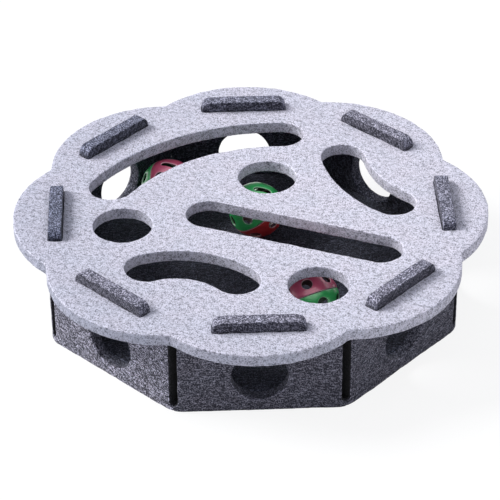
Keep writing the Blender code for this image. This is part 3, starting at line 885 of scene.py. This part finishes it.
def make_balls(green, pink, red, bell, pellet):
    """The balls with their bells. The second half of the middle ball is red, and that of the others pink,
    which holds a painted reflection of the pale sky.
    """
    for name, (green_pole, green_hole, pink_hole) in zip(BALL_NAMES, BALL_TURNS):
        nodes = [f"{name}_shell_{colour}" for colour in ("green", "pink")]
        centre, radius = middle_and_radius(*nodes)
        pink_pole = -Vector(green_pole)
        second = red if name == "ball_middle" else pink
        halves = (("green", green_pole, green_hole, green), ("pink", pink_pole, pink_hole, second))
        for colour, pole, hole, finish in halves:
            turn = half_shell_turn(pole, hole)
            mesh = half_shell_mesh(f"{name}_{colour}_half", radius, centre, turn)
            add_piece(mesh, finish, f"{name}_shell", f"{colour}_plastic", f"{name}_shell_{colour}")
        centre, radius = middle_and_radius(f"{name}_bell")
        mesh = bell_mesh(f"{name}_round_bell", radius, centre)
        add_piece(mesh, bell, f"{name}_rattle", "bell_metal", f"{name}_bell")
        centre, radius = middle_and_radius(f"{name}_pellet")
        mesh = pellet_mesh(f"{name}_round_pellet", radius, centre)
        add_piece(mesh, pellet, f"{name}_rattle", "pellet_steel", f"{name}_pellet")


def make_camera():
    """The photograph's camera: it looks at the target from the front, a little from the left, and from
    above."""
    azimuth, elevation, roll = radians(CAMERA_AZIMUTH), radians(CAMERA_ELEVATION), radians(CAMERA_ROLL)
    back = Vector((sin(azimuth) * cos(elevation), -cos(azimuth) * cos(elevation), sin(elevation)))
    right = Vector((cos(azimuth), sin(azimuth), 0))
    up = back.cross(right)
    turned_right = cos(roll) * right + sin(roll) * up
    turned_up = cos(roll) * up - sin(roll) * right
    data = bpy.data.cameras.new("camera")
    data.sensor_width = SENSOR_WIDTH
    data.lens = FOCAL_PIXELS / IMAGE_PIXELS * SENSOR_WIDTH
    camera = new_object("camera", data)
    camera.matrix_world = Matrix.Translation(Vector(CAMERA_TARGET) + CAMERA_DISTANCE * back) @ Matrix(
        (turned_right, turned_up, back)
    ).transposed().to_4x4()
    bpy.context.scene.camera = camera


def make_sun(name, towards, spread_degrees, strength):
    data = bpy.data.lights.new(name, "SUN")
    data.energy = strength
    data.angle = radians(spread_degrees)
    lamp = new_object(name, data)
    lamp.rotation_euler = Vector(towards).to_track_quat("Z", "Y").to_euler()


def seen_rays(tree):
    """1 for the rays of the camera, of gloss and through glass, and 0 for those that light the scene."""
    path = tree.nodes.new("ShaderNodeLightPath").outputs
    seen = math_node(tree, "MAXIMUM", path["Is Camera Ray"], path["Is Glossy Ray"])
    return math_node(tree, "MAXIMUM", seen, path["Is Transmission Ray"])


def make_studio():
    """A white room: an even pale sky, which the camera and gloss see as white, a floor that keeps the shadow,
    and a large soft light far off on the left."""
    world = bpy.data.worlds.new("studio")
    bpy.context.scene.world = world
    world.use_nodes = True
    tree = world.node_tree
    background = tree.nodes["Background"].inputs
    seen = seen_rays(tree)
    set_input(tree, background["Strength"], mixed(tree, seen, SKY_STRENGTH, 1.0, data_type="FLOAT"))
    set_input(tree, background["Color"], mixed(tree, seen, (*SKY_TINT, 1), (1, 1, 1, 1)))

    floor, tree, shader = new_material("studio_floor")
    tree.nodes.remove(shader)
    paint = add_node(tree, "ShaderNodeBsdfDiffuse", Color=(FLOOR_PAINT, FLOOR_PAINT, FLOOR_PAINT, 1))
    glow = add_node(tree, "ShaderNodeEmission", Strength=FLOOR_GLOW)
    both = tree.nodes.new("ShaderNodeMixShader")
    share = math_node(tree, "MULTIPLY", seen_rays(tree), FLOOR_GLOW_SHARE)
    for socket, value in zip(both.inputs, (share, paint.outputs[0], glow.outputs[0])):
        set_input(tree, socket, value)
    set_input(tree, tree.nodes["Material Output"].inputs["Surface"], both.outputs[0])
    mesh = bpy.data.meshes.new("studio_floor")
    corners = [(STUDIO_REACH * x, STUDIO_REACH * y, 0) for x, y in ((-1, -1), (1, -1), (1, 1), (-1, 1))]
    mesh.from_pydata(corners, [], [(0, 1, 2, 3)])
    mesh.materials.append(floor)
    new_object("studio_floor", mesh)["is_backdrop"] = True

    make_sun("key", KEY_TOWARDS, KEY_SPREAD, KEY_STRENGTH)


def main():
    bpy.context.scene.view_settings.view_transform = "Standard"
    felt = felt_group()
    # The Shade settings paint light and shade: a painted highlight along the cut sides' edges, painted light
    # on the tabs' tops, and painted shade on the lid's cut sides and the walls' ends
    light = felt_material(
        "light_grey_felt", felt, LIGHT_DEEP, LIGHT_PALE, bump_distance=0.0005,
        balance=0.68, grain=1.1, fibres=-0.7, blotches=1.0, cut_shade=-0.08, rim_shade=0.15,
    )
    dark = felt_material(
        "dark_grey_felt", felt, DARK_DEEP, DARK_PALE, bump_distance=0.0006,
        balance=0.19, grain=1.0, fibres=1.25, blotches=0.5, rim_shade=0.5, top_shade=1.2, end_shade=-0.85,
    )
    make_felt(light, dark)
    moulded, gloss = moulded_group(), gloss_group()
    green = plastic_material("green_gloss_plastic", moulded, gloss, GREEN)
    pink = plastic_material("pink_gloss_plastic", moulded, gloss, PINK)
    red = plastic_material("red_gloss_plastic", moulded, gloss, RED)
    bell = metal_material("nickel_plated_bell", gloss, NICKEL, smoothest=0.22, roughest=0.42)
    pellet = metal_material("steel_pellet", gloss, STEEL, smoothest=0.3, roughest=0.5)
    make_balls(green, pink, red, bell, pellet)
    make_camera()
    make_studio()


main()

# Sizes of the CAD model and of the finished one
boxes = {
    name: [[float(value) for value in corner] for corner in box]
    for name, box in (("cad", cad_box), ("visual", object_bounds()))
}
